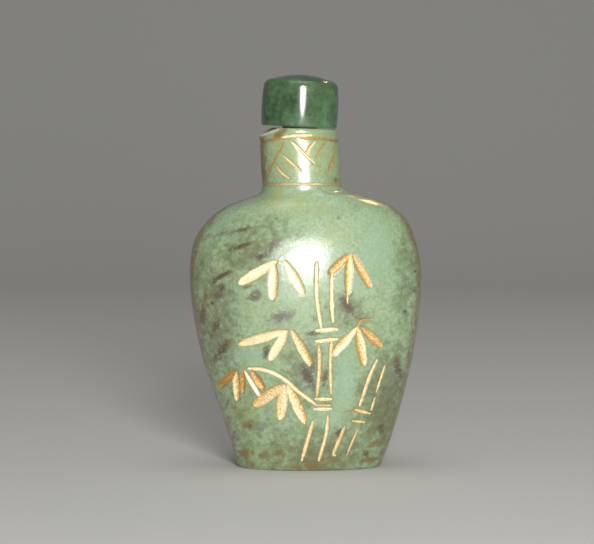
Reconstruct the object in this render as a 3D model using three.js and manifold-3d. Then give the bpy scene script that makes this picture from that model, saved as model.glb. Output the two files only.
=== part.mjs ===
// A carved stone snuff bottle: a flattened, high-shouldered vase with a straight round neck,
// hollowed through its mouth, its face and neck cut with bamboo and lattice grooves, and closed
// by a domed stone stopper set on a cork. Millimetres, +Z up, +X to the right of the carved face,
// which looks along -Y. The origin is on the table, under the middle of the bottle.
import * as THREE from 'three';
import { mergeVertices } from 'three/addons/utils/BufferGeometryUtils.js';
import Module from 'manifold-3d';

const wasm = await Module();
wasm.setup();

// ---------------------------------------------------------------- driving dimensions

const NECK_FOOT = 53.4;      // height where the shoulder turns into the neck
const RIM_HEIGHT = 64.55;    // top of the neck, at its middle
const RIM_SLOPE = 1.0;       // degrees, the rim is cut lower on the right
const WALL = 3.7;            // stone left between the outside and the hollow
const FLOOR = 5.5;           // stone under the hollow
const BORE_RADIUS = 3.6;     // the drilled mouth
const BORE_X = -1.0;         // the drilled mouth stands upright inside the leaning neck
const FOOT_ROUNDING = 0.6;
const RIM_ROUNDING = 0.6;
const CORNER = 2.1;          // 2 is an ellipse in plan, more is squarer

const STOPPER_RADIUS = 7.3;
const STOPPER_HEIGHT = 9.9;
const STOPPER_TILT = 2.7;    // degrees, it sits down on the right and lifts on the left
const STOPPER_SEAT = new THREE.Vector3(-1.19, 0, 64.82);
const CORK_TOP_RADIUS = 3.35;
const CORK_END_RADIUS = 2.95;
const CORK_LENGTH = 8.0;
const CORK_OFFSET = 0.2;     // the cork is glued a little to the right of the cap's middle
const GLUE_LINE = 0.02;

const AROUND = 36;           // facets round the body and neck

// Height, left edge, right edge and half depth of the outside, from the foot to the rim.
const OUTLINE = [
  [0.0, -12.9, 14.2, 6.8],
  [4.0, -14.1, 15.9, 8.1],
  [9.0, -15.7, 17.5, 9.35],
  [14.5, -17.6, 19.0, 10.6],
  [20.5, -19.6, 20.4, 11.8],
  [27.0, -21.0, 21.4, 12.8],
  [33.5, -21.9, 22.0, 13.4],
  [39.0, -21.9, 21.9, 13.3],
  [43.5, -21.0, 20.9, 12.5],
  [47.0, -18.6, 19.4, 11.2],
  [49.4, -15.7, 17.0, 10.0],
  [50.9, -12.2, 14.0, 9.0],
  [52.0, -9.1, 10.6, 8.1],
  [NECK_FOOT, -8.25, 7.1, 7.65],
  [58.5, -8.5, 6.7, 7.55],
  [RIM_HEIGHT, -8.75, 6.05, 7.4],
];
// Rows of facets laid between each pair of heights above: more where the outline turns.
const ROWS_BETWEEN = [1, 2, 1, 2, 1, 2, 2, 2, 2, 3, 2, 2, 2, 1, 2];

// ---------------------------------------------------------------- the carved design
// Places on the face are [x, z]; widths are the groove's full width at the surface.

const LEAF_DEPTH = 0.42;
const LINE_DEPTH = 0.3;
const GROOVE_LIFT = 0.25;    // how far a cutter stands above the stone
const LINE_END = 0.3;        // how quickly a line comes to its full width
const BODY_SPACING = 4.5;    // between two sections of a cutter on the body
const NECK_SPACING = 2.2;    // and on the neck, which turns faster
// A leaf's sections: the share of its length, and the share of its width there.
const LEAF_SECTIONS = [[0, 0.25], [0.14, 0.66], [0.38, 0.97], [0.64, 1], [0.89, 0.7], [1, 0.2]];

// Walls of the two bamboo culms, joint by joint.
const CULM_WALLS = [
  { path: [[2.1, 39.9], [2.1, 33.5], [2.9, 27.7]], width: 0.7 },
  { path: [[4.95, 37.7], [4.9, 33.0], [5.1, 28.7]], width: 0.75 },
  { path: [[2.5, 24.4], [2.6, 20.0], [2.15, 14.7]], width: 0.65 },
  { path: [[4.9, 25.2], [4.65, 21.0], [4.8, 15.2]], width: 0.6 },
  { path: [[1.45, 9.8], [-0.65, 2.2]], width: 0.7 },
  { path: [[4.25, 10.9], [3.85, 7.1], [2.55, 2.2]], width: 0.65 },
  { path: [[13.4, 21.3], [12.0, 18.1], [10.2, 12.7]], width: 0.6 },
  { path: [[14.9, 20.1], [13.35, 15.1]], width: 0.5 },
  { path: [[13.1, 14.0], [12.4, 11.7]], width: 0.5 },
  { path: [[7.4, 8.7], [5.4, 3.7], [5.6, 3.1]], width: 0.65 },
  { path: [[9.8, 8.0], [7.85, 3.1]], width: 0.4 },
];
// The short bars that mark the joints of the culms.
const CULM_JOINTS = [
  { path: [[2.0, 27.15], [5.85, 27.35]], width: 0.75 },
  { path: [[1.9, 25.1], [5.85, 25.5]], width: 0.7 },
  { path: [[1.9, 14.15], [4.9, 14.1]], width: 0.65 },
  { path: [[2.0, 13.05], [4.6, 12.95]], width: 0.4 },
  { path: [[1.65, 12.2], [4.9, 12.2]], width: 0.6 },
  { path: [[9.4, 11.85], [12.15, 11.0]], width: 0.65 },
  { path: [[8.9, 9.7], [11.0, 9.4]], width: 0.65 },
];
const TWIGS = [
  { path: [[1.8, 13.2], [-1.0, 15.3], [-3.3, 17.4], [-5.7, 19.0], [-8.1, 19.7], [-10.6, 19.8]], width: 0.7 },
  { path: [[9.5, 27.6], [10.3, 28.8], [12.5, 29.0]], width: 0.4 },
];
// Hanging sprays: where each one springs from, then its leaves. A leaf has the angle that it
// swings from straight down, positive to the right, its length, its width and how far to the
// side of the spray's root it starts.
const SPRAYS = [
  { root: [-5.1, 40.0], leaves: [[-59, 7.8, 1.8, -0.2], [-2, 6.9, 1.8, -0.8], [30, 6.6, 1.8, 1.2]] },
  { root: [8.2, 41.1], leaves: [[-46, 4.6, 1.7, -0.2], [-2, 7.1, 1.5, 0], [29, 6.6, 1.5, 0.6]] },
  { root: [-3.2, 27.1], leaves: [[-73, 9.0, 1.7, -0.3], [-30, 6.2, 1.8, -0.2], [28, 7.0, 1.6, 0.7]] },
  { root: [9.8, 27.5], leaves: [[-41, 6.5, 1.7, -0.3], [11, 7.1, 1.7, -0.1], [46, 5.1, 1.5, 0.7]] },
  { root: [-12.1, 19.5], leaves: [[-42, 5.1, 1.5, -0.8], [1, 6.0, 1.6, -0.9], [-1, 4.5, 1.1, 0.4],
    [31, 5.8, 0.95, 0.6], [35, 4.0, 1.3, 1.9]] },
  { root: [-3.7, 16.8], leaves: [[-54, 6.6, 2.0, -0.3], [-7, 6.4, 2.0, -0.2], [24, 7.8, 1.85, 0.4]] },
];
// The back carries one plainer stalk of the same bamboo.
const BACK_LINES = [
  { path: [[-1.3, 31.0], [-1.0, 20.6]], width: 0.6 },
  { path: [[1.2, 32.0], [1.3, 20.8]], width: 0.6 },
  { path: [[-1.7, 19.8], [1.9, 19.9]], width: 0.6 },
  { path: [[-1.6, 18.6], [1.9, 18.6]], width: 0.6 },
  { path: [[-1.1, 17.4], [-2.6, 8.0]], width: 0.6 },
  { path: [[1.4, 17.6], [0.2, 8.0]], width: 0.6 },
];
const BACK_SPRAYS = [
  { root: [4.6, 34.0], leaves: [[-32, 6.0, 1.6, -0.2], [4, 6.4, 1.6, 0], [42, 5.6, 1.5, 0.3]] },
  { root: [-5.2, 24.0], leaves: [[-44, 6.0, 1.6, -0.2], [-4, 6.4, 1.6, 0], [34, 5.4, 1.5, 0.3]] },
];

// Strokes on the neck are [degrees round from the front, height].
const NECK_ARC = 0.1325;     // millimetres round the neck to a degree
const NECK_STROKES = [
  { path: [[-24, 61.8], [-40, 58.6], [-61, 54.7]], width: 0.55 },
  { path: [[-37, 57.8], [-29, 56.3], [-17, 55.2]], width: 0.6 },
  { path: [[-25, 59.5], [0, 56.5]], width: 0.5 },
  { path: [[-10, 62.0], [19, 58.0]], width: 0.5 },
  { path: [[22, 57.7], [45, 55.3]], width: 0.35 },
  { path: [[25, 62.3], [7, 59.8]], width: 0.45 },
  { path: [[40, 62.0], [23, 59.2]], width: 0.45 },
  { path: [[66, 61.7], [56, 59.3], [41, 56.7]], width: 0.5 },
  { path: [[-76, 56.7], [-61, 54.7]], width: 0.4 },
];
const LATTICE = { from: 86, to: 276, step: 27, lean: 28, top: 61.5, foot: 54.8, width: 0.45 };
const LOWER_RING = { height: 53.8, frontRise: 0.35, width: 0.45 };
// The upper ring was cut in one long stroke, which starts at the front, goes right round and laps
// over its own beginning a little higher up.
const UPPER_RING = {
  path: [[2, 62.7], [30, 62.6], [72, 62.1], [120, 61.9], [240, 61.9], [290, 62.0], [330, 62.7], [358, 63.2],
    [378, 63.25]],
  width: 0.6,
};

// The rim is chipped away on the left, at this slope, from here outwards.
const CHIP = { x: -5.75, z: 64.62, slope: 22, turn: 8 };

// ---------------------------------------------------------------- solids and geometries

function solidFrom(geometry) {
  const bare = geometry.clone();
  bare.deleteAttribute('normal');
  bare.deleteAttribute('uv');
  const merged = mergeVertices(bare, 1e-4);
  const triVerts = new Uint32Array(merged.index.array);
  const vertProperties = merged.attributes.position.array;
  const solid = new wasm.Manifold(new wasm.Mesh({ numProp: 3, vertProperties, triVerts }));
  if (solid.volume() > 0) return solid;
  for (let i = 0; i < triVerts.length; i += 3) {
    [triVerts[i + 1], triVerts[i + 2]] = [triVerts[i + 2], triVerts[i + 1]];
  }
  return new wasm.Manifold(new wasm.Mesh({ numProp: 3, vertProperties, triVerts }));
}

function geometryFrom(solid) {
  const mesh = solid.getMesh();
  const geometry = new THREE.BufferGeometry();
  geometry.setAttribute('position', new THREE.BufferAttribute(new Float32Array(mesh.vertProperties), 3));
  geometry.setIndex(new THREE.BufferAttribute(new Uint32Array(mesh.triVerts), 1));
  geometry.computeVertexNormals();
  return geometry;
}

// A closed skin over rings of points, each ring with the same number of points. Open ends are
// capped from their middle; a looped skin joins its last ring to its first.
function loft(rings, looped = false) {
  const points = rings.flat();
  const around = rings[0].length;
  const index = [];
  const lastGap = looped ? rings.length : rings.length - 1;
  for (let row = 0; row < lastGap; row++) {
    const lower = row * around;
    const upper = ((row + 1) % rings.length) * around;
    for (let i = 0; i < around; i++) {
      const next = (i + 1) % around;
      index.push(lower + i, lower + next, upper + next, lower + i, upper + next, upper + i);
    }
  }
  if (!looped) {
    const middleOf = (ring) => ring.reduce((sum, p) => sum.add(p), new THREE.Vector3()).divideScalar(around);
    const top = (rings.length - 1) * around;
    const footMiddle = points.push(middleOf(rings[0])) - 1;
    const topMiddle = points.push(middleOf(rings[rings.length - 1])) - 1;
    for (let i = 0; i < around; i++) {
      const next = (i + 1) % around;
      index.push(footMiddle, next, i, topMiddle, top + i, top + next);
    }
  }
  const geometry = new THREE.BufferGeometry().setFromPoints(points);
  geometry.setIndex(index);
  return geometry;
}

// ---------------------------------------------------------------- the outside of the bottle

const edgeCurve = new THREE.CatmullRomCurve3(
  OUTLINE.map(([z, left, right]) => new THREE.Vector3(left, right, z)), false, 'catmullrom', 0.5);
const depthCurve = new THREE.CatmullRomCurve3(
  OUTLINE.map(([z, , , depth]) => new THREE.Vector3(depth, 0, z)), false, 'catmullrom', 0.5);

// The level cut through the outside at a share t of the outline.
function cutAt(t) {
  const edges = edgeCurve.getPoint(t);
  const halfDepth = depthCurve.getPoint(t).x;
  return { z: edges.z, middle: (edges.x + edges.y) / 2, halfWidth: (edges.y - edges.x) / 2, halfDepth };
}

function cutAtHeight(z) {
  let low = 0;
  let high = 1;
  for (let i = 0; i < 40; i++) {
    const half = (low + high) / 2;
    if (edgeCurve.getPoint(half).z < z) low = half;
    else high = half;
  }
  return cutAt((low + high) / 2);
}

// A point of an oval with softly squared corners, counted round from +X.
function ovalPoint(cut, angle, inset = 0) {
  const eased = (value) => Math.sign(value) * Math.abs(value) ** (2 / CORNER);
  return new THREE.Vector3(
    cut.middle + (cut.halfWidth - inset) * eased(Math.cos(angle)),
    (cut.halfDepth - inset) * eased(Math.sin(angle)), cut.z);
}

function ovalRing(cut, inset, around = AROUND) {
  return Array.from({ length: around }, (_, i) => ovalPoint(cut, (i / around) * 2 * Math.PI, inset));
}

// Quarter-round rows at the foot and the rim: how far in and how far from the end each one lies.
function roundedRows(radius, rows) {
  return Array.from({ length: rows }, (_, i) => {
    const turn = (i / rows) * (Math.PI / 2);
    return { inset: radius * (1 - Math.sin(turn)), along: radius * (1 - Math.cos(turn)) };
  });
}

function outside() {
  const rings = [];
  for (const row of roundedRows(FOOT_ROUNDING, 3)) {
    rings.push(ovalRing({ ...cutAtHeight(row.along), z: row.along }, row.inset));
  }
  ROWS_BETWEEN.forEach((rows, gap) => {
    for (let i = 0; i < rows; i++) {
      const cut = cutAt((gap + i / rows) / (OUTLINE.length - 1));
      if (cut.z > FOOT_ROUNDING && cut.z < RIM_HEIGHT - RIM_ROUNDING) rings.push(ovalRing(cut, 0));
    }
  });
  for (const row of roundedRows(RIM_ROUNDING, 3).reverse()) {
    const z = RIM_HEIGHT - row.along;
    rings.push(ovalRing({ ...cutAtHeight(z), z }, row.inset));
  }
  // The rim's slope fades out down the neck.
  const slope = Math.tan(THREE.MathUtils.degToRad(RIM_SLOPE));
  for (const point of rings.flat()) {
    const share = THREE.MathUtils.smoothstep(point.z, NECK_FOOT, RIM_HEIGHT);
    point.z -= share * slope * (point.x - BORE_X);
  }
  return solidFrom(loft(rings));
}

// ---------------------------------------------------------------- the hollow and the chip

function hollow() {
  const rows = 8;
  const ceiling = NECK_FOOT - WALL + 0.8;
  const middle = (FLOOR + ceiling) / 2;
  const half = (ceiling - FLOOR) / 2;
  const squareness = 5;
  const rings = [];
  for (let i = 0; i <= rows; i++) {
    const along = -Math.cos((Math.PI * (i + 0.35)) / (rows + 0.7));
    const z = middle + half * along;
    const outer = cutAtHeight(z);
    const share = (1 - Math.abs(along) ** squareness) ** (1 / squareness);
    rings.push(ovalRing({
      z,
      middle: THREE.MathUtils.lerp(BORE_X, outer.middle, share),
      halfWidth: (outer.halfWidth - WALL) * share,
      halfDepth: (outer.halfDepth - WALL) * share,
    }, 0, 20));
  }
  return solidFrom(loft(rings));
}

function bore() {
  const foot = NECK_FOOT - 10;
  const length = RIM_HEIGHT + 5 - foot;
  const geometry = new THREE.CylinderGeometry(BORE_RADIUS, BORE_RADIUS, length, 20);
  geometry.rotateX(Math.PI / 2);
  geometry.translate(BORE_X, 0, foot + length / 2);
  return solidFrom(geometry);
}

function rimChip() {
  const size = 12;
  const geometry = new THREE.BoxGeometry(size, 2 * size, size);
  geometry.translate(-size / 2, 0, size / 2);
  geometry.rotateY(-THREE.MathUtils.degToRad(CHIP.slope));
  geometry.rotateZ(THREE.MathUtils.degToRad(CHIP.turn));
  geometry.translate(CHIP.x, 0, CHIP.z);
  return solidFrom(geometry);
}

// ---------------------------------------------------------------- grooves

// A place on the face of the body, front or back, with the way out of the stone there.
function placeOnBody(side) {
  const at = (x, z) => {
    const cut = cutAtHeight(z);
    const across = Math.min(Math.abs((x - cut.middle) / cut.halfWidth), 0.999);
    return new THREE.Vector3(x, side * cut.halfDepth * (1 - across ** CORNER) ** (1 / CORNER), z);
  };
  return (x, z) => {
    const step = 0.05;
    const alongX = at(x + step, z).sub(at(x - step, z));
    const alongZ = at(x, z + step).sub(at(x, z - step));
    const out = alongX.cross(alongZ).normalize();
    return { point: at(x, z), out: out.y * side < 0 ? out.negate() : out };
  };
}

function placeOnNeck(arc, z) {
  const angle = THREE.MathUtils.degToRad(arc / NECK_ARC - 90);
  const cut = cutAtHeight(z);
  return { point: ovalPoint(cut, angle), out: new THREE.Vector3(Math.cos(angle), Math.sin(angle), 0) };
}

// A V-shaped cutter over a row of sections, each a place on the stone with its share of the full
// width and depth.
function grooveCutter(sections, width, depth, looped = false) {
  const count = sections.length;
  const rings = sections.map(({ place, share }, i) => {
    const before = sections[looped ? (i + count - 1) % count : Math.max(i - 1, 0)].place.point;
    const after = sections[looped ? (i + 1) % count : Math.min(i + 1, count - 1)].place.point;
    const side = after.clone().sub(before).cross(place.out).normalize();
    const deep = depth * share;
    const reach = (width / 2) * share * (1 + GROOVE_LIFT / deep);
    return [
      place.point.clone().addScaledVector(place.out, -deep),
      place.point.clone().addScaledVector(place.out, GROOVE_LIFT).addScaledVector(side, reach),
      place.point.clone().addScaledVector(place.out, GROOVE_LIFT).addScaledVector(side, -reach),
    ];
  });
  return solidFrom(loft(rings, looped));
}

// A line keeps its width along a smooth path and is blunt at both ends.
function lineCutter({ path, width }, placeOn, spacing) {
  const curve = new THREE.CatmullRomCurve3(path.map(([a, b]) => new THREE.Vector3(a, b, 0)));
  const length = curve.getLength();
  const end = LINE_END / length;
  const parts = Math.max(1, Math.round(length / spacing));
  const shares = [0, end];
  for (let i = 1; i < parts; i++) shares.push(i / parts);
  shares.push(1 - end, 1);
  const sections = shares.map((share, i) => {
    const { x, y } = curve.getPointAt(share);
    return { place: placeOn(x, y), share: i === 0 || i === shares.length - 1 ? 0.4 : 1 };
  });
  return grooveCutter(sections, width, LINE_DEPTH);
}

function leafCutter(root, [swing, length, width, shift], placeOn) {
  const angle = THREE.MathUtils.degToRad(swing);
  const sections = LEAF_SECTIONS.map(([along, share]) => {
    const x = root[0] + shift + along * length * Math.sin(angle);
    const z = root[1] - along * length * Math.cos(angle);
    return { place: placeOn(x, z), share };
  });
  return grooveCutter(sections, width, LEAF_DEPTH);
}

function lowerRingCutter() {
  const steps = 20;
  const sections = Array.from({ length: steps }, (_, i) => {
    const arc = (i / steps) * 360 * NECK_ARC;
    const facing = Math.max(0, Math.cos((i / steps) * 2 * Math.PI));
    return { place: placeOnNeck(arc, LOWER_RING.height + LOWER_RING.frontRise * facing ** 2), share: 1 };
  });
  return grooveCutter(sections, LOWER_RING.width, LINE_DEPTH, true);
}

// The lattice goes on round the back of the neck, its strokes leaning by turns.
function latticeLines() {
  const lines = [];
  for (let degrees = LATTICE.from; degrees < LATTICE.to; degrees += LATTICE.step) {
    const leaning = lines.length % 2 ? LATTICE.lean : -LATTICE.lean;
    lines.push({
      path: [[degrees - leaning / 2, LATTICE.top], [degrees + leaning / 2, LATTICE.foot]],
      width: LATTICE.width,
    });
  }
  return lines;
}

function carving() {
  const front = placeOnBody(-1);
  const back = placeOnBody(1);
  const cutters = [lowerRingCutter()];
  const cutFace = (lines, sprays, placeOn) => {
    for (const line of lines) cutters.push(lineCutter(line, placeOn, BODY_SPACING));
    for (const { root, leaves } of sprays) {
      for (const leaf of leaves) cutters.push(leafCutter(root, leaf, placeOn));
    }
  };
  cutFace([...CULM_WALLS, ...CULM_JOINTS, ...TWIGS], SPRAYS, front);
  cutFace(BACK_LINES, BACK_SPRAYS, back);
  for (const { path, width } of [...NECK_STROKES, ...latticeLines(), UPPER_RING]) {
    const onNeck = { path: path.map(([degrees, z]) => [degrees * NECK_ARC, z]), width };
    cutters.push(lineCutter(onNeck, placeOnNeck, NECK_SPACING));
  }
  return cutters;
}

// ---------------------------------------------------------------- the pieces

function bottle() {
  const material = new THREE.MeshStandardMaterial({ color: 0x8ba57f, roughness: 0.3, metalness: 0 });
  let solid = outside().subtract(hollow()).subtract(bore()).subtract(rimChip());
  for (const cutter of carving()) solid = solid.subtract(cutter);
  const mesh = new THREE.Mesh(geometryFrom(solid), material);
  mesh.name = 'bottle';
  return mesh;
}

// A drum with straight sides, a rounded shoulder and a shallow dome.
function stopper() {
  const edge = 0.3;
  const shoulderRadius = 1.5;
  const shoulderTurn = THREE.MathUtils.degToRad(71);
  const shoulderMiddle = new THREE.Vector2(STOPPER_RADIUS - shoulderRadius, 7.35);
  const profile = [
    new THREE.Vector2(0, 0),
    new THREE.Vector2(STOPPER_RADIUS - edge, 0),
    new THREE.Vector2(STOPPER_RADIUS, edge),
  ];
  const steps = 4;
  for (let i = 0; i <= steps; i++) {
    const turn = (i / steps) * shoulderTurn;
    const spoke = new THREE.Vector2(Math.cos(turn), Math.sin(turn));
    profile.push(spoke.multiplyScalar(shoulderRadius).add(shoulderMiddle));
  }
  const domeEdge = profile[profile.length - 1].clone();
  for (let i = 1; i <= steps; i++) {
    const share = 1 - i / steps;
    const rise = (STOPPER_HEIGHT - domeEdge.y) * (1 - share ** 2);
    profile.push(new THREE.Vector2(domeEdge.x * share, domeEdge.y + rise));
  }
  const geometry = new THREE.LatheGeometry(profile, 40);
  geometry.rotateX(Math.PI / 2);
  const material = new THREE.MeshStandardMaterial({ color: 0x2f5a3c, roughness: 0.15, metalness: 0 });
  const mesh = new THREE.Mesh(geometryFrom(solidFrom(geometry)), material);
  mesh.name = 'stopper';
  return mesh;
}

// A tapered cork, glued under the cap and hanging into the mouth.
function stopperCork() {
  const chamfer = 0.4;
  const profile = [
    new THREE.Vector2(0, -CORK_LENGTH),
    new THREE.Vector2(CORK_END_RADIUS - chamfer, -CORK_LENGTH),
    new THREE.Vector2(CORK_END_RADIUS, -CORK_LENGTH + chamfer),
    new THREE.Vector2(CORK_TOP_RADIUS, -GLUE_LINE),
    new THREE.Vector2(0, -GLUE_LINE),
  ];
  const geometry = new THREE.LatheGeometry(profile, 28);
  geometry.rotateX(Math.PI / 2);
  geometry.translate(CORK_OFFSET, 0, 0);
  const material = new THREE.MeshStandardMaterial({ color: 0xb98d5f, roughness: 0.9, metalness: 0 });
  const mesh = new THREE.Mesh(geometryFrom(solidFrom(geometry)), material);
  mesh.name = 'stopper_cork';
  return mesh;
}

const closure = new THREE.Group();
closure.add(stopper(), stopperCork());
closure.position.copy(STOPPER_SEAT);
closure.rotation.y = THREE.MathUtils.degToRad(STOPPER_TILT);

const snuffBottle = new THREE.Group();
snuffBottle.add(bottle(), closure);

export default snuffBottle;
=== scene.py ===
"""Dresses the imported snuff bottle: its carved stone body, its stone stopper and cork, and a plain stage."""

import math
import random

import bpy
import numpy as np
from bpy.props import FloatProperty, FloatVectorProperty, IntProperty, PointerProperty
from mathutils import Euler, Matrix, Vector, noise


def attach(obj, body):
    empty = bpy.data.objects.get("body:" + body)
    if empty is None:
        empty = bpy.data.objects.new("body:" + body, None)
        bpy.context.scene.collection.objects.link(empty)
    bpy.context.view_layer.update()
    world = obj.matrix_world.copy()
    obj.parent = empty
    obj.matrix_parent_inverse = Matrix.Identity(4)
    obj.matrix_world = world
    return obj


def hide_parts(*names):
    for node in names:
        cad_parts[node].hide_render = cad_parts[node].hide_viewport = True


bl_info = {
    "name": "Carved stone snuff bottle",
    "version": (1, 0, 0),
    "blender": (4, 5, 0),
    "location": "View3D > Sidebar > Snuff Bottle",
    "description": "Makes the carved body, the stone stopper, its cork and the stage",
    "category": "Add Mesh",
}

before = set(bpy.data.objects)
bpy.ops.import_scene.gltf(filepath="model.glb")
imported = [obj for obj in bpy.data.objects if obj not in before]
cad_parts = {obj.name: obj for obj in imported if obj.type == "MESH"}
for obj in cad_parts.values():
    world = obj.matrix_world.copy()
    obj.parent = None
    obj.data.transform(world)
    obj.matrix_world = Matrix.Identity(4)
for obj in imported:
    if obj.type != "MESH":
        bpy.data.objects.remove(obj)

MM = 0.001

# ------------ the bottle's named sizes, in millimetres

NECK_FOOT = 53.4       # where the shoulder turns into the neck
RIM_HEIGHT = 64.55
RIM_SLOPE = 1.25       # degrees, lower on the right
RIM_RISE = 0.04        # the rim closes up to the stopper by this much
WALL = 3.7
FLOOR = 5.5
BORE_RADIUS = 3.6
BORE_X = -1.0
FOOT_ROUNDING = 0.6
RIM_ROUNDING = 0.6
MOUTH_ROUNDING = 0.25
CORNER = 2.1           # 2 is an ellipse in plan, more is squarer
FRONT_TURN = 4.5       # degrees; the front was ground to face a little to the right
FRONT_TRIM = 0.0096    # the share that the turned front is drawn in, to stay as deep as the rest
BODY_DEPTH = 13.4      # half the body's depth at its deepest

# Height, left edge, right edge and half depth of the outside, from the foot to the rim.
OUTLINE = (
    (0.0, -12.9, 14.2, 6.8),
    (4.0, -14.1, 15.9, 8.1),
    (9.0, -15.7, 17.5, 9.35),
    (14.5, -17.6, 19.0, 10.6),
    (20.5, -19.6, 20.4, 11.8),
    (27.0, -21.0, 21.4, 12.8),
    (33.5, -21.9, 21.99, 13.385),
    (39.0, -21.9, 21.9, 13.3),
    (43.5, -21.0, 20.9, 12.5),
    (47.0, -18.6, 19.4, 11.2),
    (49.4, -15.7, 17.0, 10.0),
    (50.9, -12.2, 14.0, 9.0),
    (52.0, -9.1, 10.6, 8.5),
    (NECK_FOOT, -8.25, 7.1, 7.95),
    (58.5, -8.5, 6.7, 7.55),
    (RIM_HEIGHT, -8.75, 6.05, 7.4),
)

# The rim is broken away on the left: the break starts at x and z, and falls outwards at this slope.
CHIP_X, CHIP_Z, CHIP_SLOPE, CHIP_TURN = -5.75, 64.62, 22.0, 8.0
CHIP_FOOT = 62.75      # nothing below this height moves for the break

STOPPER_BELLY = 0.16   # its side swells by this much at its widest height
STOPPER_WIDEST = 3.4
STOPPER_SEAT = (-1.19, 0.0, 64.82)
CORK_TOP_RADIUS = 3.35
CORK_END_RADIUS = 2.95
CORK_OFFSET = 0.2
GLUE_LINE = 0.02

KEY_PLACE = (78, -570, 168)
OVERHEAD_PLACE = (0, -60, 800)
WARM_PLACE = (262, 568, 540)
CAMERA_PLACE = (-1.57, -437.0, 64.7)
CAMERA_PITCH = 3.6     # degrees that the camera looks down
CAMERA_LENS = 139.3

# ------------ the carved design
# Places on the face are (x, z). A line is its path, its width and its tone, from 0 for bright
# gilding to 1 for gilding worn down to its orange ground.

FACE_LINES = (
    (((2.1, 39.9), (2.1, 33.5), (2.9, 27.7)), 0.7, 0.1),
    (((4.95, 37.7), (4.9, 33.0), (5.1, 28.7)), 0.75, 0.1),
    (((2.5, 24.4), (2.6, 20.0), (2.15, 14.7)), 0.65, 0.35),
    (((4.9, 25.2), (4.65, 21.0), (4.8, 15.2)), 0.6, 0.3),
    (((1.45, 9.8), (-0.65, 2.2)), 0.7, 0.3),
    (((4.25, 10.9), (3.85, 7.1), (2.55, 2.2)), 0.65, 0.25),
    (((13.4, 21.3), (12.0, 18.1), (10.2, 12.7)), 0.6, 0.3),
    (((14.9, 20.1), (13.35, 15.1)), 0.5, 0.35),
    (((13.1, 14.0), (12.4, 11.7)), 0.5, 0.35),
    (((7.4, 8.7), (5.4, 3.7), (5.6, 3.1)), 0.65, 0.45),
    (((9.8, 8.0), (7.85, 3.1)), 0.4, 0.4),
    (((2.0, 27.15), (5.85, 27.35)), 0.75, 0.1),
    (((1.9, 25.1), (5.85, 25.5)), 0.7, 0.15),
    (((1.9, 14.15), (4.9, 14.1)), 0.65, 0.3),
    (((2.0, 13.05), (4.6, 12.95)), 0.4, 0.9),
    (((1.65, 12.2), (4.9, 12.2)), 0.6, 0.3),
    (((9.4, 11.85), (12.15, 11.0)), 0.65, 0.45),
    (((8.9, 9.7), (11.0, 9.4)), 0.65, 0.45),
    (((1.8, 13.2), (-1.0, 15.3), (-3.3, 17.4), (-5.7, 19.0), (-8.1, 19.7), (-10.6, 19.8)), 0.7, 0.25),
    (((9.5, 27.6), (10.3, 28.8), (12.5, 29.0)), 0.4, 1.0),
    (((7.9, 34.9), (7.75, 32.2)), 0.4, 0.4),
    (((7.3, 11.45), (8.4, 11.55), (9.6, 11.75)), 0.18, 1.2),
)
# A spray is the place that it springs from and its leaves. A leaf is its swing from straight
# down, its length, its width, how far to the side it starts, its tone, and how much more orange
# its right side is drawn than its left.
FACE_SPRAYS = (
    ((-5.1, 40.0), ((-59, 8.0, 1.9, -0.2, 0.1, 0.5), (-2, 7.0, 1.85, -0.8, 0.1, 0.6),
                    (30, 6.8, 1.9, 1.2, 0.0, 0.6))),
    ((8.2, 41.1), ((-46, 4.8, 1.7, -0.2, 0.8, -0.4), (-2, 7.1, 1.5, 0.0, 0.5, -0.7),
                   (29, 6.8, 1.5, 0.6, 0.7, -0.4))),
    ((-3.2, 27.1), ((-73, 9.1, 1.75, -0.3, 0.25, -0.6), (-30, 6.3, 1.8, -0.2, 0.1, 0.3),
                    (28, 7.2, 1.6, 0.7, 0.4, 0.4))),
    ((9.8, 27.5), ((-41, 6.6, 1.7, -0.3, 0.3, -0.8), (11, 7.2, 1.7, -0.1, 0.45, -0.6),
                   (46, 5.2, 1.5, 0.7, 0.75, -0.2))),
    ((-12.1, 19.5), ((-42, 5.1, 1.5, -0.8, 1.1, -0.3), (1, 6.0, 1.6, -0.9, 0.6, 0.5),
                     (-1, 4.5, 1.1, 0.4, 1.0, 0.0),
                     (31, 5.8, 0.95, 0.6, 0.0, 0.0), (35, 4.2, 1.4, 1.9, 0.95, 0.2))),
    ((-3.7, 16.8), ((-54, 6.8, 2.1, -0.3, 0.5, -0.4), (-7, 6.5, 2.0, -0.2, 0.3, -0.3),
                    (24, 7.8, 1.85, 0.4, 0.35, 0.4))),
)
# The back carries one plainer stalk of the same bamboo.
BACK_LINES = (
    (((-1.3, 31.0), (-1.0, 20.6)), 0.6, 0.35),
    (((1.2, 32.0), (1.3, 20.8)), 0.6, 0.35),
    (((-1.7, 19.8), (1.9, 19.9)), 0.6, 0.4),
    (((-1.6, 18.6), (1.9, 18.6)), 0.6, 0.4),
    (((-1.1, 17.4), (-2.6, 8.0)), 0.6, 0.35),
    (((1.4, 17.6), (0.2, 8.0)), 0.6, 0.35),
)
BACK_SPRAYS = (
    ((4.6, 34.0), ((-32, 6.0, 1.6, -0.2, 0.4, 0.4), (4, 6.4, 1.6, 0.0, 0.4, -0.4),
                   (42, 5.6, 1.5, 0.3, 0.6, 0.3))),
    ((-5.2, 24.0), ((-44, 6.0, 1.6, -0.2, 0.6, 0.3), (-4, 6.4, 1.6, 0.0, 0.4, 0.5),
                    (34, 5.4, 1.5, 0.3, 0.4, -0.3))),
)
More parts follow.
